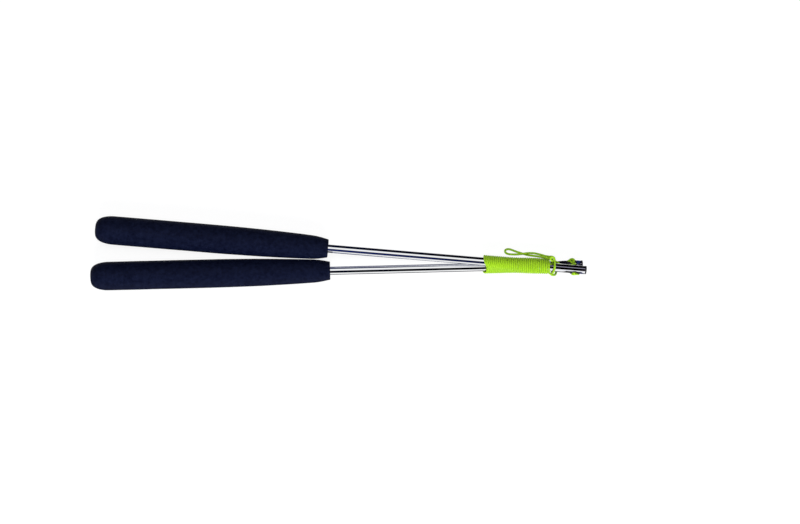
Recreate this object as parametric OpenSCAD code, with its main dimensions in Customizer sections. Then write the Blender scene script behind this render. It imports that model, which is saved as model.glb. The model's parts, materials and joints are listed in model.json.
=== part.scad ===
// A pair of diabolo hand sticks, laid one over the other in a narrow cross and bound
// near the tips with their own string. Millimetres, +Z up, standing on z = 0, +X
// towards the tips. Stick A passes over stick B.

/* [Sticks] */
// Length of a stick, from the butt of its grip to its tip
stick_len = 350; // [340:1:370]
// Outside diameter of the aluminium tube
tube_d = 6; // [5.8:0.1:6.1]
// Wall thickness of the tube
tube_wall = 1; // [0.8:0.1:1.2]
// Angle between the two sticks, seen from above
cross_angle = 6.2; // [6.1:0.1:7]
// Distance from the butt of stick A to the crossing
cross_at_a = 312.1; // [310:0.1:314]
// Distance from the butt of stick B to the crossing
cross_at_b = 314.4; // [312:0.2:316]

/* [Foam grips] */
// Length of grip A
grip_len_a = 165.8; // [162:0.2:172]
// Length of grip B
grip_len_b = 170; // [162:0.2:172]
// Largest diameter of a grip
grip_d = 20.3; // [19:0.1:20.4]
// Diameter of the flat face where the tube comes out
grip_front_d = 12.8; // [11:0.1:13]
// Length of the rounded butt
butt_len = 13; // [10:0.5:15]
// Distance from the butt at which the grip starts to taper
taper_from = 70; // [60:1:75]
// Foam left behind the tube's rear end
butt_wall = 12; // [8:0.5:14]

/* [Plugs and eyelets] */
// Thickness of the domed head on a tip plug
tip_head = 1.1; // [0.9:0.1:1.5]
// Distance from the tip to the middle of an eyelet
eyelet_from_tip = 8.2; // [8:0.1:9]
// Diameter of an eyelet's flange
eyelet_d = 7.2; // [6.4:0.1:7.4]
// Height of the flange above the tube
eyelet_rise = 0.8; // [0.6:0.1:0.9]
// Angle of eyelet A's hole above the horizontal
eyelet_tilt_a = 18; // [10:1:25]
// Angle of eyelet B's hole above the horizontal
eyelet_tilt_b = 40; // [30:1:45]

/* [String] */
// Diameter of the braided string
string_d = 1.5; // [1.4:0.05:1.5]
// Length of the winding along the sticks
winding_len = 47.2; // [40:0.2:48]
// Distance from the crossing to the winding's end on the tip side
winding_past = 12.2; // [10:0.2:12.4]

/* [Hidden] */
$fn = 96;

foam_colour = [0.04, 0.05, 0.13];
metal_colour = [0.82, 0.83, 0.86];
black_colour = [0.05, 0.05, 0.06];
string_colour = [0.57, 0.79, 0.16];

tube_r = tube_d / 2;
bore_r = tube_r - tube_wall;
grip_r = grip_d / 2;
string_r = string_d / 2;
half_angle = cross_angle / 2;

// Grip outline: how far the taper and the rounded nose pull the radius in
taper_span = 90;
taper_drop = 1.98;
taper_power = 2.4;
nose_len = 12;
nose_power = 1.8;
butt_power = 0.27;

// Radius of a grip at a distance from its butt: before the nose is rounded, with the nose
// of a grip of length len, and over the butt
function taper_r(s) = grip_r - taper_drop * pow(max(0, s - taper_from) / taper_span, taper_power);
function body_r(s, len) =
    taper_r(s)
    - (taper_r(len) - grip_front_d / 2) * pow(max(0, s - len + nose_len) / nose_len, nose_power);
function butt_r(s) = grip_r * pow(1 - pow(1 - s / butt_len, 2), butt_power);

// How the pair lies: stick A on its butt, stick B on its shoulder and on the string
hitch_at = 331;
shoulder_at = 121;
hitch_gap = 0.15;
cross_gap = 6.3;
hitch_z = tube_r + string_d + hitch_gap;
pitch_b = atan((taper_r(shoulder_at) - hitch_z) / (hitch_at - shoulder_at));
cross_z_b = hitch_z + (hitch_at - cross_at_b) * tan(pitch_b);
cross_z_a = cross_z_b + cross_gap;
pitch_a = atan((cross_z_a - grip_r) / (cross_at_a - butt_len));
cross_x = (cross_at_b + cross_at_a - stick_len) / 2 * cos(half_angle);

// Heights and sideways places of the two axes, at a distance x from the crossing
function axis_a(x) = [-x * tan(half_angle), cross_z_a + x * tan(pitch_a)];
function axis_b(x) = [x * tan(half_angle), cross_z_b - x * tan(pitch_b)];

// Tubes and plugs
tube_from = butt_wall + 1.5;
tube_to = stick_len - tip_head;
plug_chamfer = 0.4;
butt_spigot = 10;
tip_spigot = 5;
tip_round = 0.6;
tip_dome = 0.15;

// Eyelets and knots
eyelet_at = stick_len - eyelet_from_tip;
shank_d = 3.5;
shank_gap = 0.1;
hole_d = 2;
knot_ring_r = 1.5;
knot_at = 3.9;
knot_gap = 0.05;
string_tail = 0.4;

// Winding: clearance round the tubes, and how far the turns bow out over the crossing
winding_gap = 0.15;
bow_end = 0.2;
bow_mid = 0.8;
bow_width = 9;
winding_steps = 16;
arc_steps = 10;

// The string's free run, from the end of the winding to eyelet A, and its lead from
// eyelet B back to the winding. Places are [along, across, height], along counting
// from the crossing.
loop_route = [
    [11.4, -4.2, 9.8], [12.2, -5.2, 9.0], [13.2, -6.0, 8.1], [14.6, -6.25, 6.9], [15.9, -5.9, 5.4], [16.6, -4.7, 3.6],
    [16.8, -3.2, 1.9], [16.4, -0.9, 0.8], [16.0, 1.6, 0.8], [15.6, 3.9, 1.5], [15.2, 5.4, 3.0],
    [14.4, 6.4, 4.8], [13.0, 6.8, 6.2], [11.0, 6.8, 6.6], [8.6, 7.1, 6.0], [6.0, 7.8, 5.0],
    [3.0, 8.5, 3.9], [0.2, 8.9, 3.2], [-2.6, 8.9, 2.8], [-5.4, 8.6, 2.6], [-8.2, 8.1, 2.4],
    [-11.6, 7.7, 1.7], [-15.0, 7.6, 1.0], [-17.6, 7.8, 0.8], [-19.3, 8.5, 0.8], [-20.0, 9.6, 0.8],
    [-19.6, 10.7, 0.8], [-18.4, 11.2, 0.8], [-17.0, 11.2, 0.8], [-15.0, 10.7, 0.8], [-12.2, 9.7, 0.8],
    [-9.6, 9.0, 0.8], [-6.8, 8.2, 0.8], [-4.0, 7.5, 1.1], [-1.2, 7.2, 2.6], [1.6, 6.9, 4.6],
    [4.2, 6.6, 7.0], [6.8, 6.2, 9.4], [9.2, 5.8, 11.0], [11.2, 5.4, 10.8], [12.8, 5.0, 9.4],
    [13.5, 5.0, 7.4], [13.6, 5.0, 5.2], [13.6, 4.3, 3.0], [13.6, 2.6, 1.2], [13.6, 0.6, 0.8],
    [13.6, -1.6, 1.2], [13.7, -3.2, 2.4], [13.8, -4.2, 4.4], [13.8, -4.5, 6.6], [13.8, -4.6, 8.8],
    [13.8, -4.75, 10.8], [14.0, -4.5, 12.8], [14.4, -3.4, 14.7], [14.9, -1.2, 15.4], [15.0, 1.2, 15.0],
    [14.9, 3.4, 13.9], [14.5, 5.4, 13.6], [13.5, 6.6, 13.8], [12.3, 6.3, 14.0], [11.9, 5.2, 13.8],
    [12.5, 4.2, 12.9], [13.7, 3.7, 11.6], [15.1, 3.5, 10.4], [16.6, 3.1, 9.4], [17.9, 2.2, 8.7],
    [19.4, 1.4, 8.4], [21.8, 1.1, 8.4], [23.4, 1.4, 8.75], [25.0, 1.65, 9.1], [26.8, 1.7, 9.15],
    [28.0, 1.9, 9.2], [29.0, 2.5, 9.4], [29.6, 2.75, 9.8], [29.7, 2.1, 10.3]
];
lead_route = [
    [26.8, -2.2, 1.9], [25.2, -2.9, 3.0], [23.2, -2.9, 4.7], [20.8, -2.6, 6.2], [18.0, -2.4, 7.2],
    [15.0, -2.4, 7.6], [11.6, -2.4, 7.7]
];
string_sides = 8;

// A vector's direction, a route's direction at a point, and a direction square to it
function unit(v) = v / norm(v);
function tangent(p, i) = unit(p[min(i + 1, len(p) - 1)] - p[max(i - 1, 0)]);
function across(t, u) = unit(u - t * (u * t));
function normals(p, first) = [
    for (i = 0, u = across(tangent(p, 0), first); i < len(p); i = i + 1,
         u = i < len(p) ? across(tangent(p, i), u) : u) u
];

// A closed solid through rings of points, all with the same count
module skin(rings) {
    n = len(rings[0]);
    last = len(rings) - 1;
    polyhedron(
        points = [for (ring = rings) each ring],
        faces = [
            [for (k = [n - 1:-1:0]) k],
            for (i = [0:last - 1]) for (k = [0:n - 1])
                [i * n + k, i * n + (k + 1) % n, (i + 1) * n + (k + 1) % n, (i + 1) * n + k],
            [for (k = [0:n - 1]) last * n + k]
        ],
        convexity = 10
    );
}

// A round string swept along a route
module swept(route, r) {
    side = normals(route, [0, 0, 1]);
    skin([
        for (i = [0:len(route) - 1])
            let (t = tangent(route, i), u = side[i], v = cross(t, u))
            [for (k = [0:string_sides - 1])
                let (a = -360 * k / string_sides)
                route[i] + r * (cos(a) * u + sin(a) * v)]
    ]);
}

// Puts a stick, drawn along X from its butt, where it lies
module place_a() {
    translate([cross_x, 0, cross_z_a])
        rotate([0, -pitch_a, -half_angle])
            translate([-cross_at_a, 0, 0]) children();
}

module place_b() {
    translate([cross_x, 0, cross_z_b])
        rotate([0, pitch_b, half_angle])
            translate([-cross_at_b, 0, 0]) children();
}

// Turns an outline of [radius, distance from the butt] about the stick's axis
module turned(outline) {
    rotate([0, 90, 0]) rotate_extrude() polygon(outline);
}

// Puts an eyelet's own axis, drawn along Z, across the stick
module at_eyelet(turn) {
    translate([eyelet_at, 0, 0]) rotate([turn, 0, 0]) rotate([-90, 0, 0]) children();
}

turn_a = 180 - eyelet_tilt_a;
turn_b = eyelet_tilt_b;

// Closed-cell foam grip: flat-domed butt, long taper, rounded nose and a blind bore
module grip(len) {
    butt_steps = 12;
    body_steps = 20;
    color(foam_colour)
        turned([
            for (k = [0:butt_steps])
                let (s = butt_len * pow(k / butt_steps, 3)) [butt_r(s), s],
            for (k = [0:body_steps])
                let (s = taper_from + (len - taper_from) * k / body_steps) [body_r(s, len), s],
            [tube_r, len],
            [tube_r, butt_wall],
            [0, butt_wall]
        ]);
}

// Aluminium tube, cross-drilled for its eyelet
module tube(turn) {
    color(metal_colour)
        difference() {
            translate([tube_from, 0, 0]) rotate([0, 90, 0])
                cylinder(r = tube_r, h = tube_to - tube_from);
            translate([tube_from - 1, 0, 0]) rotate([0, 90, 0])
                cylinder(r = bore_r, h = tube_to - tube_from + 2);
            at_eyelet(turn) cylinder(d = shank_d + shank_gap, h = 2 * tube_d, center = true);
        }
}

// Plug that keeps the tube's rear edge from cutting through the foam
module butt_plug() {
    color(black_colour)
        turned([
            [0, butt_wall],
            [tube_r - plug_chamfer, butt_wall],
            [tube_r, butt_wall + plug_chamfer],
            [tube_r, tube_from],
            [bore_r, tube_from],
            [bore_r, tube_from + butt_spigot - plug_chamfer],
            [bore_r - plug_chamfer, tube_from + butt_spigot],
            [0, tube_from + butt_spigot]
        ]);
}

// Plug with a shallow domed head that closes the tip
module tip_plug() {
    arc = 6;
    color(black_colour)
        turned([
            [0, stick_len],
            for (k = [0:arc])
                let (a = 90 * k / arc)
                [tube_r - tip_round + tip_round * sin(a),
                 stick_len - tip_dome - tip_round + tip_round * cos(a)],
            [tube_r, tube_to],
            [bore_r, tube_to],
            [bore_r, tube_to - tip_spigot + plug_chamfer],
            [bore_r - plug_chamfer, tube_to - tip_spigot],
            [0, tube_to - tip_spigot]
        ]);
}

// Plastic eyelet: a flange curved to the tube, a shank through both walls, the
// string's hole, and a seat for the knot
module eyelet(turn) {
    color(black_colour)
        difference() {
            union() {
                intersection() {
                    at_eyelet(turn) cylinder(d = eyelet_d, h = tube_d);
                    difference() {
                        translate([eyelet_at - tube_d, 0, 0]) rotate([0, 90, 0])
                            cylinder(r = tube_r + eyelet_rise, h = 2 * tube_d);
                        translate([eyelet_at - 2 * tube_d, 0, 0]) rotate([0, 90, 0])
                            cylinder(r = tube_r, h = 4 * tube_d);
                    }
                }
                at_eyelet(turn) translate([0, 0, -tube_r])
                    cylinder(d = shank_d, h = 2 * tube_r + eyelet_rise / 4);
            }
            at_eyelet(turn) cylinder(d = hole_d, h = 4 * tube_d, center = true);
            at_eyelet(turn) translate([0, 0, knot_at])
                rotate_extrude() translate([knot_ring_r, 0]) circle(r = string_r + knot_gap);
            at_eyelet(turn) translate([0, 0, knot_at])
                cylinder(r = knot_ring_r + string_r + knot_gap, h = tube_d);
        }
}

// Stopper knot: one tight ring of string, and the string through the eyelet below it
module knot(turn) {
    color(string_colour)
        at_eyelet(turn) {
            translate([0, 0, knot_at])
                rotate_extrude() translate([knot_ring_r, 0]) circle(r = string_r);
            translate([0, 0, knot_at - string_r / 2]) cylinder(r = knot_ring_r, h = string_r);
            translate([0, 0, -tube_r - string_tail])
                cylinder(r = string_r, h = tube_r + string_tail + knot_at);
        }
}

// How far the turns of the winding stand out over the gap between the tubes
function bow(x) = bow_end + bow_mid * exp(-pow(x / bow_width, 2));

// Outline of the winding, across the sticks, at a distance x from the crossing
function winding_ring(x) =
    let (
        a = axis_a(x),
        b = axis_b(x),
        lean = atan2(a[1] - b[1], a[0] - b[0]),
        wrap = tube_r + string_d
    )
    [
        for (k = [0:arc_steps])
            let (t = 180 * k / arc_steps, r = wrap + bow(x) * pow(cos(t), 2), turn = lean - 90 + t)
            [x, a[0] + r * cos(turn), a[1] + r * sin(turn)],
        for (k = [0:arc_steps])
            let (t = 180 * k / arc_steps, r = wrap + bow(x) * pow(cos(t), 2), turn = lean + 90 + t)
            [x, b[0] + r * cos(turn), b[1] + r * sin(turn)]
    ];

// The close turns of string round both tubes, as the one shape that they fill
module winding() {
    color(string_colour)
        difference() {
            translate([cross_x, 0, 0])
                skin([
                    for (k = [0:winding_steps])
                        winding_ring(winding_past - winding_len * k / winding_steps)
                ]);
            place_a() rotate([0, 90, 0]) cylinder(r = tube_r + winding_gap, h = stick_len);
            place_b() rotate([0, 90, 0]) cylinder(r = tube_r + winding_gap, h = stick_len);
        }
}

module string_run(route) {
    color(string_colour) translate([cross_x, 0, 0]) swept(route, string_r);
}

module tube_a() { place_a() tube(turn_a); }
module tube_b() { place_b() tube(turn_b); }
module grip_a() { place_a() grip(grip_len_a); }
module grip_b() { place_b() grip(grip_len_b); }
module butt_plug_a() { place_a() butt_plug(); }
module butt_plug_b() { place_b() butt_plug(); }
module tip_plug_a() { place_a() tip_plug(); }
module tip_plug_b() { place_b() tip_plug(); }
module eyelet_a() { place_a() eyelet(turn_a); }
module eyelet_b() { place_b() eyelet(turn_b); }
module string_winding() { winding(); }
module string_loop() { string_run(loop_route); }
module string_lead() { string_run(lead_route); }
module string_knot_a() { place_a() knot(turn_a); }
module string_knot_b() { place_b() knot(turn_b); }

tube_a();
tube_b();
grip_a();
grip_b();
butt_plug_a();
butt_plug_b();
tip_plug_a();
tip_plug_b();
eyelet_a();
eyelet_b();
string_winding();
string_loop();
string_lead();
string_knot_a();
string_knot_b();
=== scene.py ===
# A pair of diabolo hand sticks, bound near their tips with their own string: the looks
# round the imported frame. Metres, +X towards the tips, +Z up, the floor at z = 0.
import json
import math

import bpy
import numpy as np
from mathutils import Matrix, Vector, noise


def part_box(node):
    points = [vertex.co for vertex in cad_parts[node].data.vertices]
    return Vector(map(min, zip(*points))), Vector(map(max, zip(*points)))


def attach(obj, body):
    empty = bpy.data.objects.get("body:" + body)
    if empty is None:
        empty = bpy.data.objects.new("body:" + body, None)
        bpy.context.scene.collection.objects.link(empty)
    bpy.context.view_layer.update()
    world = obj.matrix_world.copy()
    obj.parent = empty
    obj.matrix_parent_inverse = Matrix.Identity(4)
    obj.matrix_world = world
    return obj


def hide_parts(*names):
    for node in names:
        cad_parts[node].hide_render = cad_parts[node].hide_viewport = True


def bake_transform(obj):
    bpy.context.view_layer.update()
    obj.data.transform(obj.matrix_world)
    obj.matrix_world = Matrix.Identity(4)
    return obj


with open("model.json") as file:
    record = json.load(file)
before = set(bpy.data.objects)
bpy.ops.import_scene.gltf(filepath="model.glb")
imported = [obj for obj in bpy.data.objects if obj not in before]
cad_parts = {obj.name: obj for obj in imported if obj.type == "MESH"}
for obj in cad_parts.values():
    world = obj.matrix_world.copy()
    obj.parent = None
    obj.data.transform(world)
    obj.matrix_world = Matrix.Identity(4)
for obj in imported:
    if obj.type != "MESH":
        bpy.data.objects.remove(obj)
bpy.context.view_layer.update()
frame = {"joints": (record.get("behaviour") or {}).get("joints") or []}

MM = 0.001
SIDES = ("a", "b")

# Sizes of a stick, along it from the butt of its grip
TUBE_R = 3 * MM
BORE_R = 2 * MM
DRILL_R = 1.8 * MM
TUBE_FROM = 13.5 * MM
TUBE_TO = 348.9 * MM
EYELET_AT = 341.8 * MM

# Sizes of a grip, in millimetres as its outline is
GRIP_LEN = {"a": 165.8, "b": 170.0}
GRIP_R = 10.15
BUTT_LEN = 13
TAPER_FROM = 70
TAPER_LEN = 90
TAPER_DROP = 1.98
NOSE_LEN = 12
NOSE_R = 6.4

# Sizes of the string and of its winding, along X from the crossing of the sticks
STRING_D = 1.5 * MM
STRING_R = STRING_D / 2
CROSSING = Vector(frame["joints"][0]["pos_m"])
WINDING_START = -35.6 * MM
WINDING_END = 11.4 * MM
TURNS = 30.9
TURN_STEPS = 40

# The braid: the radius to the middle of its relief, and the relief to either side of that
STRAND_R = 0.725 * MM
KNOT_STRAND_R = 0.58 * MM
BRAID_RELIEF = 0.045 * MM
BRAID_SIDES = 16
BRAID_STEP = 0.3 * MM

# How a turn lies: its gap to a tube, how far it bows out over the gap between the tubes, the
# share of its step sideways that it makes on the -Y side, and how far it strays from its place
SLACK = 0.12 * MM
BOW_AT_ENDS = 0.2 * MM
BOW_MORE = 0.8 * MM
BOW_REACH = 9 * MM
STEP_SHARE = 1.3
LOOSE = 0.07 * MM

# The dent that the lead makes in the first turns where it comes out between them: its depth,
# the turns it lasts, and, in shares of a turn, how late it is and how long before and after
NOTCH = 2.8 * MM
NOTCH_TURNS = 14
NOTCH_LATE = 0.045
NOTCH_BEFORE = 0.3
NOTCH_AFTER = 0.2

# The lead under the winding: its distance out from between the tubes, and its places along X
# in millimetres
LEAD_DEPTH = 1.85 * MM
LEAD_PLACES = range(8, -28, -4)

# Angle of an eyelet's hole round its stick, and the distances from the hole's middle at which
# the string's line starts inside it and leaves it
HOLE_TURN = {"a": math.radians(162), "b": math.radians(40)}
HOLE_STUB = 2.6 * MM
HOLE_EXIT = 3.4 * MM

# The camera's place, its roll, and its lens and film in millimetres
CAMERA_PLACE = (CROSSING.x - 94.7 * MM, -0.2 * MM, 2)
CAMERA_ROLL = math.radians(1.7)
CAMERA_LENS = 126.1
CAMERA_FILM = 36


# Where the sticks lie

def stick_frame(side):
    """The place of a stick, drawn along X from its butt, from the box of its packed tube."""
    low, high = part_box("tube_" + side)
    size = high - low
    across, up = {"a": (-1, 1), "b": (1, -1)}[side]
    along = Vector((size.x, across * (size.y - 2 * TUBE_R), up * (size.z - 2 * TUBE_R)))
    along.normalize()
    sideways = Vector((0, 0, 1)).cross(along).normalized()
    rotation = Matrix((along, sideways, along.cross(sideways))).transposed()
    middle = (low + high) / 2
    butt = middle - along * (TUBE_FROM + TUBE_TO) / 2
    return Matrix.Translation(butt) @ rotation.to_4x4()


STICKS = {side: stick_frame(side) for side in SIDES}


def axis_at(side, x):
    """Sideways place and height of a stick's axis at a distance x from the crossing."""
    place = STICKS[side]
    along = place.col[0].to_3d()
    point = place.translation + along * ((CROSSING.x + x - place.translation.x) / along.x)
    return np.array((point.y, point.z))


def hole_on_stick(side):
    """The place of an eyelet on its stick: Z out along its hole, X along the stick."""
    turn = Matrix.Rotation(HOLE_TURN[side] - math.pi / 2, 4, "X")
    return Matrix.Translation((EYELET_AT, 0, 0)) @ turn


HOLES = {side: STICKS[side] @ hole_on_stick(side) for side in SIDES}


# Meshes

def mesh_object(name, points, faces):
    """A new smooth-shaded object in the scene."""
    mesh = bpy.data.meshes.new(name)
    mesh.from_pydata([tuple(p) for p in points], [], [tuple(f) for f in faces])
    mesh.polygons.foreach_set("use_smooth", [True] * len(mesh.polygons))
    mesh.update()
    piece = bpy.data.objects.new(name, mesh)
    bpy.context.scene.collection.objects.link(piece)
    return piece


def skin(name, rings, joined=False):
    """A closed mesh through rings of points. Its ends are capped, or joined to each other."""
    count, sides = rings.shape[:2]
    rows = np.arange(count if joined else count - 1)[:, None]
    next_rows = (rows + 1) % count
    columns = np.arange(sides)[None, :]
    next_columns = (columns + 1) % sides
    corners = [
        rows * sides + columns,
        rows * sides + next_columns,
        next_rows * sides + next_columns,
        next_rows * sides + columns,
    ]
    faces = np.stack(corners, axis=-1).reshape(-1, 4).tolist()
    if not joined:
        faces.append(list(range(sides - 1, -1, -1)))
        faces.append(list(range((count - 1) * sides, count * sides)))
    return mesh_object(name, rings.reshape(-1, 3), faces)


def turned(profile, sides):
    """Rings about X through a profile of (distance along X, radius)."""
    angles = np.linspace(0, 2 * math.pi, sides, endpoint=False)
    around = np.stack([np.zeros(sides), np.cos(angles), np.sin(angles)], axis=-1)
    return np.array([np.array((x, 0, 0)) + r * around for x, r in profile])


def arc(x, r, radius, start, stop, steps=6):
    """Profile points on an arc about (x, r), its angles in degrees from the X direction."""
    angles = [math.radians(start + (stop - start) * k / steps) for k in range(steps + 1)]
    return [(x + radius * math.cos(a), r + radius * math.sin(a)) for a in angles]


# Lines

def smooth_line(points, step):
    """Points a step apart on a smooth curve (centripetal Catmull-Rom) through the given ones."""
    p = np.array(points, float)
    p = np.vstack([2 * p[0] - p[1], p, 2 * p[-1] - p[-2]])
    steps_between = 12
    knots = np.concatenate([[0], np.cumsum(np.linalg.norm(np.diff(p, axis=0), axis=1) ** 0.5)])
    fine = []
    for i in range(1, len(p) - 2):
        k = knots[i - 1:i + 3]
        t = np.linspace(k[1], k[2], steps_between, endpoint=False)[:, None]
        a1 = (k[1] - t) / (k[1] - k[0]) * p[i - 1] + (t - k[0]) / (k[1] - k[0]) * p[i]
        a2 = (k[2] - t) / (k[2] - k[1]) * p[i] + (t - k[1]) / (k[2] - k[1]) * p[i + 1]
        a3 = (k[3] - t) / (k[3] - k[2]) * p[i + 1] + (t - k[2]) / (k[3] - k[2]) * p[i + 2]
        b1 = (k[2] - t) / (k[2] - k[0]) * a1 + (t - k[0]) / (k[2] - k[0]) * a2
        b2 = (k[3] - t) / (k[3] - k[1]) * a2 + (t - k[1]) / (k[3] - k[1]) * a3
        fine.append((k[2] - t) / (k[2] - k[1]) * b1 + (t - k[1]) / (k[2] - k[1]) * b2)
    fine = np.vstack(fine + [p[-2:-1]])
    reach = np.concatenate([[0], np.cumsum(np.linalg.norm(np.diff(fine, axis=0), axis=1))])
    wanted = np.linspace(0, reach[-1], round(reach[-1] / step) + 1)
    return np.stack([np.interp(wanted, reach, fine[:, axis]) for axis in range(3)], axis=-1)


def line_frames(line):
    """Two directions square to a line at each of its points, carried along without twist."""
    tangents = np.gradient(line, axis=0)
    tangents /= np.linalg.norm(tangents, axis=1)[:, None]
    off_line = (0.3, 0.2, 0.9)
    side = np.cross(tangents[0], off_line)
    first = []
    for tangent in tangents:
        side = side - tangent * side.dot(tangent)
        side /= np.linalg.norm(side)
        first.append(side)
    first = np.array(first)
    return first, np.cross(tangents, first)


# The string

def braid(name, line, radius):
    """A round braid along a line. Raised points in a chequer are its crossing yarns, and its
    map gives the count of rows along and of columns round, for the material's yarns."""
    first, second = line_frames(line)
    rows, columns = np.meshgrid(np.arange(len(line)), np.arange(BRAID_SIDES), indexing="ij")
    angles = 2 * math.pi * columns / BRAID_SIDES
    relief = np.where((rows + columns) % 2 == 0, BRAID_RELIEF, -BRAID_RELIEF)
    width = (radius + relief)[..., None]
    cosines, sines = np.cos(angles)[..., None], np.sin(angles)[..., None]
    rings = line[:, None, :] + width * (cosines * first[:, None, :] + sines * second[:, None, :])
    piece = skin(name, rings)
    rows, columns = rows[:-1].ravel(), columns[:-1].ravel()
    corners = [(rows + i, columns + j) for i, j in ((0, 0), (0, 1), (1, 1), (1, 0))]
    spots = np.stack([np.stack(corner, axis=-1) for corner in corners], axis=1).astype(float)
    spots = np.vstack([spots.reshape(-1, 2), np.zeros((2 * BRAID_SIDES, 2))])
    layer = piece.data.uv_layers.new(name="braid")
    layer.data.foreach_set("uv", spots.ravel())
    return piece


def bow(x):
    """How far the turns stand out over the gap between the tubes, most at the crossing."""
    return BOW_AT_ENDS + BOW_MORE * math.exp(-(x / BOW_REACH) ** 2)


def round_tubes(x, turn):
    """The string's place in a turn round both tubes. turn counts from the middle of the
    -Y side, down round stick B, up the +Y side and over stick A."""
    a, b = axis_at("a", x), axis_at("b", x)
    gap = float(np.linalg.norm(a - b))
    lean = math.atan2(a[1] - b[1], a[0] - b[0])
    half_arc = math.pi * (TUBE_R + STRING_R)
    way = (turn % 1) * 2 * (half_arc + gap) + gap / 2
    stretch, way = divmod(way, half_arc + gap)
    near, far = (a, b) if stretch % 2 == 0 else (b, a)
    side = lean + math.pi / 2 + stretch * math.pi
    share = min(way / gap, 1)
    angle = max(way - gap, 0) / half_arc * math.pi
    out = TUBE_R + STRING_R + SLACK + bow(x) * math.cos(angle) ** 2
    centre = near + (far - near) * share
    outward = np.array((math.cos(side + angle), math.sin(side + angle)))
    return np.array((x, *(centre + out * outward)))


def valley(x, out):
    """A place over the valley between the tubes on the -Y side, out from their middle."""
    a, b = axis_at("a", x), axis_at("b", x)
    lean = math.atan2(a[1] - b[1], a[0] - b[0]) + math.pi / 2
    outward = np.array((math.cos(lean), math.sin(lean)))
    return np.array((x, *((a + b) / 2 + out * outward)))


def turn_x(turn):
    """Distance of a turn from the crossing. A turn steps sideways mostly on the -Y side, the
    first ones step round the lead, and the last ones lie looser than the rest."""
    pitch = (WINDING_END - WINDING_START) / TURNS
    stepped = turn + STEP_SHARE * math.sin(2 * math.pi * turn) / (2 * math.pi)
    from_notch = turn - round(turn) - NOTCH_LATE
    from_notch = abs(from_notch) / (NOTCH_AFTER if from_notch > 0 else NOTCH_BEFORE)
    dent = NOTCH * max(0, 1 - round(turn) / NOTCH_TURNS)
    dent *= math.cos(min(from_notch, 1) * math.pi / 2) ** 2
    stray = noise.noise((turn * 2.3, 4.1, 7.7)) * (1 + max(0, turn - TURNS + 5) / 3)
    return WINDING_START + pitch * stepped + dent + LOOSE * stray


# The free run from the winding's end to eyelet A, and the lead from eyelet B back to the
# winding: [along from the crossing, across, height] in millimetres. The points are the packed
# model's, except in the last centimetre before each eyelet, where they are up to 0.9 mm off it
LOOP_ROUTE = [
    [12.2, -5.2, 9.0], [13.2, -6.0, 8.1], [14.6, -6.25, 6.9], [15.9, -5.9, 5.4],
    [16.6, -4.7, 3.6], [16.8, -3.2, 1.9], [16.4, -0.9, 0.8], [16.0, 1.6, 0.8],
    [15.6, 3.9, 1.5], [15.2, 5.4, 3.0], [14.4, 6.4, 4.8], [13.0, 6.8, 6.2],
    [11.0, 6.8, 6.6], [8.6, 7.1, 6.0], [6.0, 7.8, 5.0], [3.0, 8.5, 3.9],
    [0.2, 8.9, 3.2], [-2.6, 8.9, 2.8], [-5.4, 8.6, 2.6], [-8.2, 8.1, 2.4],
    [-11.6, 7.7, 1.7], [-15.0, 7.6, 1.0], [-17.6, 7.8, 0.8], [-19.3, 8.5, 0.8],
    [-20.0, 9.6, 0.8], [-19.6, 10.7, 0.8], [-18.4, 11.2, 0.8], [-17.0, 11.2, 0.8],
    [-15.0, 10.7, 0.8], [-12.2, 9.7, 0.8], [-9.6, 9.0, 0.8], [-6.8, 8.2, 0.8],
    [-4.0, 7.5, 1.1], [-1.2, 7.2, 2.6], [1.6, 6.9, 4.6], [4.2, 6.6, 7.0],
    [6.8, 6.2, 9.4], [9.2, 5.8, 11.0], [11.2, 5.4, 10.8], [12.8, 5.0, 9.4],
    [13.5, 5.0, 7.4], [13.6, 5.0, 5.2], [13.6, 4.3, 3.0], [13.6, 2.6, 1.2],
    [13.6, 0.6, 0.8], [13.6, -1.6, 1.2], [13.7, -3.2, 2.4], [13.8, -4.2, 4.4],
    [13.8, -4.5, 6.6], [13.8, -4.6, 8.8], [13.8, -4.75, 10.8], [14.0, -4.5, 12.8],
    [14.4, -3.4, 14.7], [14.9, -1.2, 15.4], [15.0, 1.2, 15.0], [14.9, 3.4, 13.9],
    [14.5, 5.4, 13.6], [13.5, 6.6, 13.8], [12.3, 6.3, 14.0], [11.9, 5.2, 13.8],
    [12.5, 4.2, 12.9], [13.7, 3.7, 11.6], [15.1, 3.5, 10.4], [16.6, 3.1, 9.4],
    [17.9, 2.2, 8.7], [19.4, 1.4, 8.4], [21.8, 1.05, 8.4], [23.4, 1.05, 8.4],
    [25.0, 1.05, 8.4], [26.8, 1.2, 8.55], [28.0, 1.6, 8.9], [28.9, 2.05, 9.4],
    [29.45, 2.3, 9.9],
]
LEAD_ROUTE = [
    [27.2, -2.1, 1.6], [26.4, -2.7, 1.7], [25.0, -3.0, 2.9], [23.2, -2.9, 4.6],
    [20.8, -2.6, 6.2], [18.0, -2.4, 7.2], [15.0, -2.4, 7.6], [11.6, -2.4, 7.7],
]


def string_line():
    """The string's centreline, from inside eyelet B's hole to inside eyelet A's."""
    start = [HOLES["b"] @ Vector((0, 0, -h)) for h in (HOLE_STUB, HOLE_EXIT)]
    end = [HOLES["a"] @ Vector((0, 0, -h)) for h in (HOLE_EXIT, HOLE_STUB)]
    bend_x = turn_x(0)
    places = [np.array(p) * MM for p in LEAD_ROUTE]
    places += [valley(x * MM, LEAD_DEPTH) for x in LEAD_PLACES]
    places += [valley(bend_x + 2.6 * MM, 1.9 * MM), valley(bend_x + 0.9 * MM, 2.7 * MM)]
    places += [round_tubes(turn_x(t), t) for t in np.arange(0.02, TURNS - 0.02, 1 / TURN_STEPS)]
    places += [np.array(p) * MM for p in LOOP_ROUTE]
    places = [p + np.array((CROSSING.x, 0, 0)) for p in places]
    return smooth_line([*start, *places, *end], BRAID_STEP)


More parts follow.
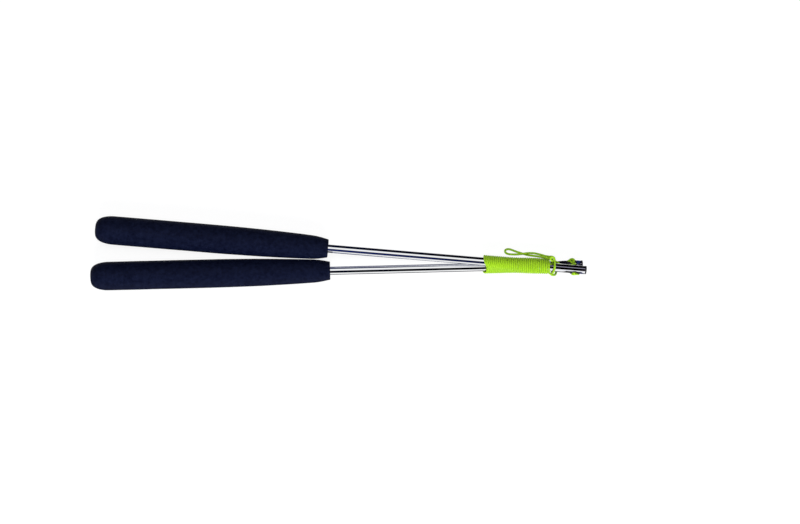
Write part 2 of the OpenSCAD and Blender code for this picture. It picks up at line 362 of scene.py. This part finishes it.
def make_string(material):
    """The whole string but for its knots."""
    line = string_line()
    string = braid("string", line, STRAND_R)
    string.data.materials.append(material)
    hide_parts("string_winding", "string_loop", "string_lead")
    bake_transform(string)
    return string, line


# A knot's way, in millimetres from the eyelet's middle: [along the stick, across, out]
KNOT_ROUTE = [
    [0, 0, -2.4], [0, 0, -0.8], [0, 0, 0.8], [0.2, 0, 2.1],
    [0.9, 0.1, 2.9], [1.6, 0.4, 3.4], [1.55, 1.0, 3.5], [0.9, 1.45, 3.5],
    [0.1, 1.45, 3.5], [-0.65, 1.0, 3.5], [-1.0, 0.2, 3.5], [-0.8, -0.75, 3.5],
    [-0.15, -1.35, 3.5], [0.7, -1.45, 3.55], [1.5, -0.95, 3.7], [1.9, -0.1, 4.0],
    [1.7, 0.8, 4.2], [0.8, 1.4, 4.25], [-0.3, 1.35, 4.2], [-1.4, 0.7, 3.9],
    [-2.3, 0.0, 3.6], [-2.7, -0.4, 3.5],
]


def make_knot(side, material):
    """A stopper knot: up through the eyelet, once round, and over its start to the cut tail.
    The two knots mirror each other along their sticks."""
    hand = Vector((-1 if side == "a" else 1, 1, 1)) * MM
    line = smooth_line([HOLES[side] @ (Vector(p) * hand) for p in KNOT_ROUTE], BRAID_STEP)
    knot = braid("knot_" + side, line, KNOT_STRAND_R)
    knot.data.materials.append(material)
    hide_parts("string_knot_" + side)
    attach(knot, "stick_" + side)
    return knot


# Materials

def new_material(name, **values):
    """A material with one Principled shader, whose sockets take the values."""
    material = bpy.data.materials.new(name)
    material.use_nodes = True
    shader = material.node_tree.nodes["Principled BSDF"]
    for socket, value in values.items():
        shader.inputs[socket.replace("_", " ")].default_value = value
    return material, shader


def add(tree, kind, **values):
    """A new node; a value sets its socket of that name, or else its own setting."""
    node = tree.nodes.new(kind)
    for name, value in values.items():
        if name.replace("_", " ") in node.inputs:
            node.inputs[name.replace("_", " ")].default_value = value
        else:
            setattr(node, name, value)
    return node


def math_node(tree, operation, *values):
    """A Math node; each value is a number or another node's output."""
    node = add(tree, "ShaderNodeMath", operation=operation)
    for socket, value in zip(node.inputs, values):
        if isinstance(value, bpy.types.NodeSocket):
            tree.links.new(value, socket)
        else:
            socket.default_value = value
    return node.outputs[0]


def ramp(tree, source, *stops):
    """A colour ramp fed by source, with stops of (place, colour)."""
    node = add(tree, "ShaderNodeValToRGB")
    elements = node.color_ramp.elements
    while len(elements) < len(stops):
        elements.new(0.5)
    for element, (place, colour) in zip(elements, sorted(stops)):
        element.position = place
        element.color = (*colour, 1)
    tree.links.new(source, node.inputs["Fac"])
    return node.outputs["Color"]


def bumped(tree, shader, height, distance, strength, onto=None):
    """Gives the shader a bump: height scaled to a distance in metres, onto an earlier bump."""
    node = add(tree, "ShaderNodeBump", Distance=distance, Strength=strength)
    tree.links.new(height, node.inputs["Height"])
    if onto is not None:
        tree.links.new(onto, node.inputs["Normal"])
    tree.links.new(node.outputs[0], shader.inputs["Normal"])
    return node.outputs[0]


def foam_material():
    """Navy closed-cell foam with a moulded skin: fine cells, faint cloudiness, no gloss."""
    material, shader = new_material("navy_foam", Roughness=0.7)
    shader.inputs["Specular IOR Level"].default_value = 0.1
    tree = material.node_tree
    place = add(tree, "ShaderNodeTexCoord").outputs["Object"]
    clouds = add(tree, "ShaderNodeTexNoise", Scale=350, Detail=4)
    cells = add(tree, "ShaderNodeTexVoronoi", Scale=1900)
    grain = add(tree, "ShaderNodeTexNoise", Scale=900, Detail=3)
    for node in (clouds, cells, grain):
        tree.links.new(place, node.inputs["Vector"])
    mottle = math_node(tree, "ADD", math_node(tree, "MULTIPLY", clouds.outputs["Fac"], 0.5),
                       math_node(tree, "MULTIPLY", grain.outputs["Fac"], 0.5))
    colour = ramp(tree, mottle, (0.36, (0.0003, 0.001, 0.008)), (0.68, (0.0048, 0.0072, 0.0235)))
    tree.links.new(colour, shader.inputs["Base Color"])
    rough = ramp(tree, grain.outputs["Fac"], (0.3, (0.6,) * 3), (0.7, (0.8,) * 3))
    tree.links.new(rough, shader.inputs["Roughness"])
    normal = bumped(tree, shader, cells.outputs["Distance"], 0.05 * MM, 0.5)
    bumped(tree, shader, grain.outputs["Fac"], 0.15 * MM, 0.7, normal)
    return material


def metal_material():
    """Polished aluminium with faint drawing lines along the tube."""
    material, shader = new_material("polished_aluminium", Metallic=1.0)
    tree = material.node_tree
    place = add(tree, "ShaderNodeTexCoord").outputs["Object"]
    stretch = add(tree, "ShaderNodeMapping")
    stretch.inputs["Scale"].default_value = (12, 2600, 2600)
    tree.links.new(place, stretch.inputs["Vector"])
    lines = add(tree, "ShaderNodeTexNoise", Scale=1, Detail=2)
    tree.links.new(stretch.outputs[0], lines.inputs["Vector"])
    colour = ramp(tree, lines.outputs["Fac"],
                  (0.3, (0.86, 0.87, 0.89)), (0.7, (0.91, 0.915, 0.93)))
    tree.links.new(colour, shader.inputs["Base Color"])
    rough = ramp(tree, lines.outputs["Fac"], (0.3, (0.015,) * 3), (0.75, (0.035,) * 3))
    tree.links.new(rough, shader.inputs["Roughness"])
    bumped(tree, shader, lines.outputs["Fac"], 0.0006 * MM, 0.15)
    return material


def plastic_material(name, roughness, grain_scale):
    """Black moulded plastic with a fine spark-eroded grain, which varies its roughness."""
    material, shader = new_material(name, Base_Color=(0.011, 0.011, 0.014, 1), Roughness=roughness)
    tree = material.node_tree
    place = add(tree, "ShaderNodeTexCoord").outputs["Object"]
    grain = add(tree, "ShaderNodeTexNoise", Scale=grain_scale, Detail=3)
    tree.links.new(place, grain.inputs["Vector"])
    rough = ramp(tree, grain.outputs["Fac"],
                 (0.3, (roughness - 0.07,) * 3), (0.7, (roughness + 0.1,) * 3))
    tree.links.new(rough, shader.inputs["Roughness"])
    bumped(tree, shader, grain.outputs["Fac"], 0.02 * MM, 0.4)
    return material


def string_material():
    """Lime-green polyester braid: yarns slant left and right in turn, in fine filaments. Its colour
    holds painted shade, darker at the braid's low points between the yarn crossings and in the
    grooves between the filaments.
    """
    material, shader = new_material("lime_braid", Roughness=0.55,
                                    Sheen_Weight=0.2, Sheen_Roughness=0.4)
    shader.inputs["Sheen Tint"].default_value = (0.85, 1.0, 0.35, 1)
    shader.inputs["Specular IOR Level"].default_value = 0.3
    tree = material.node_tree
    braid_map = add(tree, "ShaderNodeUVMap", uv_map="braid")
    split = add(tree, "ShaderNodeSeparateXYZ")
    tree.links.new(braid_map.outputs[0], split.inputs[0])
    row, column = split.outputs["X"], split.outputs["Y"]
    along = math_node(tree, "COSINE", math_node(tree, "MULTIPLY", row, math.pi))
    around = math_node(tree, "COSINE", math_node(tree, "MULTIPLY", column, math.pi))
    crossing_shade = math_node(tree, "MULTIPLY", along, around)
    slant = math_node(tree, "SIGN", around)
    filaments_at = math_node(tree, "ADD", row, math_node(tree, "MULTIPLY", slant, column))
    filaments = math_node(tree, "SINE", math_node(tree, "MULTIPLY", filaments_at, 5 * math.pi))
    # Painted shade: the base colour darkens at the braid's low points between the yarn crossings
    # and along the grooves between filaments; the same pattern also bumps the surface.
    shade = math_node(tree, "ADD", math_node(tree, "MULTIPLY", crossing_shade, 0.35),
                      math_node(tree, "MULTIPLY", filaments, 0.12))
    colour = ramp(tree, math_node(tree, "ADD", shade, 0.5), (0.1, (0.13, 0.285, 0.002)),
                  (0.5, (0.285, 0.52, 0.006)), (0.95, (0.39, 0.65, 0.02)))
    tree.links.new(colour, shader.inputs["Base Color"])
    bumped(tree, shader, shade, 0.06 * MM, 0.6)
    return material


# Stick pieces

def place_on_stick(piece, side, slot, material, *nodes):
    """Puts a piece drawn along X where its stick lies, to ride on it in place of CAD nodes."""
    piece.matrix_world = STICKS[side]
    piece.data.materials.append(material)
    if nodes:
        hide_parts(*nodes)
    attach(piece, "stick_" + side)
    return piece


def taper_radius(s):
    """A grip's radius where it isn't rounded off: straight, then tapering to the front."""
    return GRIP_R - TAPER_DROP * (max(0, s - TAPER_FROM) / TAPER_LEN) ** 2.4


def grip_radius(s, length):
    """Outline of a grip: flat-domed butt, long taper, rounded nose, all in millimetres."""
    if s < BUTT_LEN:
        return GRIP_R * (1 - (1 - s / BUTT_LEN) ** 2) ** 0.27
    nose_drop = taper_radius(length) - NOSE_R
    return taper_radius(s) - nose_drop * (max(0, s - length + NOSE_LEN) / NOSE_LEN) ** 1.8


def make_grip(side, material):
    """Foam grip with soft hollows and swellings, a hair under a tenth of a millimetre."""
    end = GRIP_LEN[side]
    steps = 26
    butt_places = [BUTT_LEN * (k / steps) ** 3 for k in range(1, steps + 1)]
    butt = [(s, grip_radius(s, end)) for s in butt_places]
    body = [(s, grip_radius(s, end)) for s in np.arange(BUTT_LEN + 0.6, end - 0.9, 0.6)]
    nose = [(end - 0.5, 6.62), (end - 0.15, 6.42), (end, 6.1), (end, 5.6)]
    face = [(end - 0.02, 5.0), (end - 0.08, 4.2), (end - 0.16, 3.5), (end - 0.3, 3.12),
            (end - 0.7, 3.0)]
    bore = [(s, 3.0) for s in (160, 150, 100, 50, 14, 12.2)] + [(12, 2.8), (12, 0.4)]
    profile = [(0.0, 0.3)] + butt + body + nose + face + bore
    rings = turned([(x * MM, r * MM) for x, r in profile], 96)
    outside = len(butt) + len(body) + len(nose) + 3
    seed = Vector((0, 0, 7.3 if side == "a" else 21.9))
    for ring in rings[1:outside]:
        for k, point in enumerate(ring):
            where = Vector(point)
            out = Vector((0, where.y, where.z)).normalized()
            swell = noise.noise(where * 55 + seed) * 0.06 + noise.noise(where * 420 + seed) * 0.022
            ring[k] = where + out * swell * MM
    grip = skin("grip_foam_" + side, rings)
    place_on_stick(grip, side, "foam_grip", material, "grip_" + side)
    return grip


def cut(piece, cutter):
    """Takes the cutter's volume out of the piece."""
    modifier = piece.modifiers.new("cut", "BOOLEAN")
    modifier.operation = "DIFFERENCE"
    modifier.solver = "EXACT"
    modifier.object = cutter
    graph = bpy.context.evaluated_depsgraph_get()
    mesh = bpy.data.meshes.new_from_object(piece.evaluated_get(graph))
    piece.modifiers.clear()
    piece.data = mesh
    bpy.data.objects.remove(cutter)


def make_tube(side, material):
    """Aluminium tube with broken edges, drilled across for the eyelet."""
    edge = 0.12 * MM
    outside = arc(TUBE_FROM + edge, TUBE_R - edge, edge, 180, 90)
    outside += [(s * MM, TUBE_R) for s in np.arange(20, 340, 8)]
    outside += arc(TUBE_TO - edge, TUBE_R - edge, edge, 90, 0)
    inside = [(TUBE_TO, BORE_R), (180 * MM, BORE_R), (TUBE_FROM, BORE_R)]
    tube = skin("tube_metal_" + side, turned(outside + inside, 128), joined=True)
    drill = skin("drill_" + side, turned([(-5 * MM, DRILL_R), (5 * MM, DRILL_R)], 64))
    drill.data.transform(hole_on_stick(side) @ Matrix.Rotation(-math.pi / 2, 4, "Y"))
    bpy.context.view_layer.update()
    cut(tube, drill)
    tube.data.polygons.foreach_set("use_smooth", [True] * len(tube.data.polygons))
    tube.data.materials.clear()
    return place_on_stick(tube, side, "polished_tube", material, "tube_" + side)


def rib(s):
    """A grip rib on a plug's spigot, at a distance along it."""
    return [(s - 0.5, 1.86), (s - 0.1, 2.0), (s + 0.1, 2.0), (s + 0.5, 1.86)]


def make_tip_plug(side, material):
    """Push-in plug: a shallow domed head with a gate dimple, and a ribbed spigot."""
    spigot = [(343.9, 0.3), (343.9, 1.4), (344.1, 1.6), (344.5, 1.86)]
    spigot += rib(345.4) + rib(346.8) + rib(348.1)
    spigot += [(348.9, 1.86), (348.9, 2.7), (348.95, 2.92)]
    head = [(349.1, 3.0), (349.25, 3.0)]
    for a in np.linspace(0.1, math.pi / 2, 9):
        head.append((349.25 + 0.6 * math.sin(a), 2.4 + 0.6 * math.cos(a)))
    dome = [(350 - 0.15 * (r / 2.4) ** 2, r) for r in (2.1, 1.7, 1.3, 0.9, 0.62)]
    gate = [(349.95, 0.5), (349.82, 0.42), (349.8, 0.3), (349.8, 0.1)]
    profile = [(x * MM, r * MM) for x, r in spigot + head + dome + gate]
    plug = skin("tip_plug_head_" + side, turned(profile, 72))
    return place_on_stick(plug, side, "black_plastic", material, "tip_plug_" + side)


def make_butt_plug(side, material):
    """Plug with a flat head and a ribbed spigot, inside the foam."""
    head = [(12, 0.3), (12, 2.6), (12.1, 2.85), (12.3, 2.99), (12.6, 3.0), (13.3, 3.0)]
    head += [(13.48, 2.9)]
    spigot = [(13.5, 2.7), (13.5, 1.86)] + rib(15) + rib(17.5) + rib(20)
    spigot += [(23, 1.7), (23.5, 1.3), (23.5, 0.3)]
    profile = [(x * MM, r * MM) for x, r in head + spigot]
    plug = skin("butt_plug_body_" + side, turned(profile, 64))
    return place_on_stick(plug, side, "black_plastic", material, "butt_plug_" + side)


def make_eyelet(side, material):
    """Eyelet: a saddle flange bent to the tube, a rolled lip round the hole, a shank through
    both walls with a rolled far end. Drawn with Z out along its hole, in millimetres."""
    sides = 72
    saddle = 3.8  # how wide a flange would reach round to the tube's sides
    angles = np.linspace(0, 2 * math.pi, sides, endpoint=False)

    def bent(out, height):
        """A ring on the flange, at a distance from the hole's axis and from the tube's axis."""
        narrow = 1 - 0.2 * max(0, out - 2)
        lean = np.arcsin(np.clip(out * narrow * np.sin(angles) / saddle, -1, 1))
        across, up = height * np.sin(lean), height * np.cos(lean)
        return np.stack([out * np.cos(angles), across, up], axis=-1)

    def straight(out, height):
        """A level ring round the hole's axis."""
        across, up = out * np.sin(angles), np.full(sides, height)
        return np.stack([out * np.cos(angles), across, up], axis=-1)

    under = [bent(1.8, 3.03), bent(2.6, 3.03), bent(3.3, 3.03), bent(3.43, 3.05)]
    edge = [bent(3.5, 3.12), bent(3.5, 3.25), bent(3.45, 3.38), bent(3.34, 3.46), bent(3.15, 3.52)]
    top = [bent(2.9, 3.56), bent(2.6, 3.6), bent(2.4, 3.6), bent(2.28, 3.55), bent(2.18, 3.42)]
    seat = [bent(2.0, 3.15), bent(1.7, 2.98), bent(1.4, 2.9), bent(1.2, 2.85), bent(1.08, 2.75),
            bent(1.02, 2.6), bent(1.0, 2.4)]
    bore = [straight(1.0, 1.5), straight(1.0, 0), straight(1.0, -2.0), straight(1.02, -2.7)]
    far = [straight(1.1, -2.9), straight(1.25, -3.0), straight(1.5, -3.0), straight(1.68, -2.93)]
    shank = [straight(1.75, -2.75), straight(1.75, -1.5), straight(1.75, 0), straight(1.75, 2.2)]
    rings = np.array(under + edge + top + seat + bore + far + shank) * MM
    eyelet = skin("eyelet_body_" + side, rings[::-1], joined=True)
    eyelet.data.transform(hole_on_stick(side))
    return place_on_stick(eyelet, side, "black_nylon", material, "eyelet_" + side)


# Studio

def make_camera():
    """Straight above, rolled a little, as the pair was shot."""
    data = bpy.data.cameras.new("camera")
    data.sensor_width = CAMERA_FILM
    data.lens = CAMERA_LENS
    camera = bpy.data.objects.new("camera", data)
    camera.location = CAMERA_PLACE
    camera.rotation_euler = (0, 0, CAMERA_ROLL)
    bpy.context.scene.collection.objects.link(camera)
    bpy.context.scene.camera = camera


def flat_sheet(name, low, high, height):
    """A level rectangle between two corners (x, y)."""
    corners = [(low[0], low[1]), (high[0], low[1]), (high[0], high[1]), (low[0], high[1])]
    return mesh_object(name, [(x, y, height) for x, y in corners], [(0, 1, 2, 3)])


def make_floor():
    """A pale floor that glows a little, so that it stays white round the object."""
    floor = flat_sheet("floor", (-8, -8), (8, 8), 0)
    material, shader = new_material("pale_floor", Base_Color=(0.15, 0.15, 0.15, 1), Roughness=0.9)
    shader.inputs["Emission Color"].default_value = (1, 1, 1, 1)
    shader.inputs["Emission Strength"].default_value = 0.87
    floor.data.materials.append(material)
    floor.visible_glossy = False


def make_world():
    """Studio walls that the polished tubes mirror: a white wall low on the -Y side, a strip
    light overhead, and dark between them, navy on the grips' side. The angle is from straight
    up towards +Y."""
    world = bpy.data.worlds.new("studio")
    bpy.context.scene.world = world
    world.use_nodes = True
    tree = world.node_tree
    background = tree.nodes["Background"]
    direction = add(tree, "ShaderNodeTexCoord").outputs["Generated"]
    split = add(tree, "ShaderNodeSeparateXYZ")
    tree.links.new(direction, split.inputs[0])
    angle = math_node(tree, "ARCTAN2", split.outputs["Y"], split.outputs["Z"])
    share = math_node(tree, "ADD", math_node(tree, "DIVIDE", angle, 2 * math.pi), 0.5)
    forward = math_node(tree, "ADD", split.outputs["X"], 0.5)

    walls = [
        (-180, 1), (-168, 1), (-165, 0.03), (-116, 0.03), (-112, 1), (-68, 1), (-65, 0), (-5, 0),
        (-2, 1), (40, 1), (43, 0), (130, 0), (134, 1), (180, 1),
    ]
    bright = ramp(tree, share, *[((degrees + 180) / 360, (level,) * 3) for degrees, level in walls])
    dark = ramp(tree, forward, (0.44, (0.012, 0.022, 0.11)), (0.52, (0.002, 0.004, 0.017)),
                (0.58, (0.002, 0.002, 0.004)))
    colour = add(tree, "ShaderNodeMix", data_type="RGBA")
    tree.links.new(bright, colour.inputs[0])
    tree.links.new(dark, colour.inputs[6])
    colour.inputs[7].default_value = (1, 1, 1, 1)
    tree.links.new(colour.outputs[2], background.inputs["Color"])
    background.inputs["Strength"].default_value = 1.0


def make_flag():
    """A dark card over the tips, which only their reflections see, as in the photograph. It
    glows white on its -Y side, and faintly in a strip on its +Y side."""
    flag = flat_sheet("flag", (0.139, -0.3), (0.6, 0.4), 0.15)
    material, shader = new_material("flag_card", Base_Color=(0, 0, 0, 1), Roughness=1.0)
    shader.inputs["Specular IOR Level"].default_value = 0
    tree = material.node_tree
    split = add(tree, "ShaderNodeSeparateXYZ")
    tree.links.new(add(tree, "ShaderNodeTexCoord").outputs["Object"], split.inputs[0])
    across = math_node(tree, "MULTIPLY_ADD", split.outputs["Y"], 2, 0.5)
    glow = ramp(tree, across, (0.27, (0.9, 0.9, 0.95)), (0.29, (0,) * 3), (0.61, (0,) * 3),
                (0.63, (0.3, 0.29, 0.37)), (0.74, (0.3, 0.29, 0.37)), (0.76, (0,) * 3))
    tree.links.new(glow, shader.inputs["Emission Color"])
    shader.inputs["Emission Strength"].default_value = 1.0
    flag.data.materials.append(material)
    flag.visible_camera = False
    flag.visible_diffuse = False
    flag.visible_shadow = False


def make_lights():
    """One big soft key low on the -Y side and a weaker fill straight above."""
    for name, place, size, power in (
        ("key", (0.1, -1.27, 0.98), 0.9, 30),
        ("fill", (0.0, 0.1, 1.9), 1.2, 15),
    ):
        data = bpy.data.lights.new(name, "AREA")
        data.size = size
        data.energy = power
        light = bpy.data.objects.new(name, data)
        light.location = place
        light.rotation_euler = (-Vector(place)).to_track_quat("-Z", "Y").to_euler()
        light.visible_camera = False
        light.visible_glossy = False
        bpy.context.scene.collection.objects.link(light)


# The camera and the cord come first
make_camera()
lime = string_material()
string, string_path = make_string(lime)
knots = [make_knot(side, lime) for side in SIDES]

foam = foam_material()
metal = metal_material()
matte_black = plastic_material("matte_black_plastic", 0.5, 900)
gloss_black = plastic_material("gloss_black_nylon", 0.28, 500)
for side in SIDES:
    make_grip(side, foam)
    make_tube(side, metal)
    make_tip_plug(side, matte_black)
    make_butt_plug(side, matte_black)
    make_eyelet(side, gloss_black)

make_floor()
make_world()
make_flag()
make_lights()
bpy.context.scene.view_settings.view_transform = "Standard"
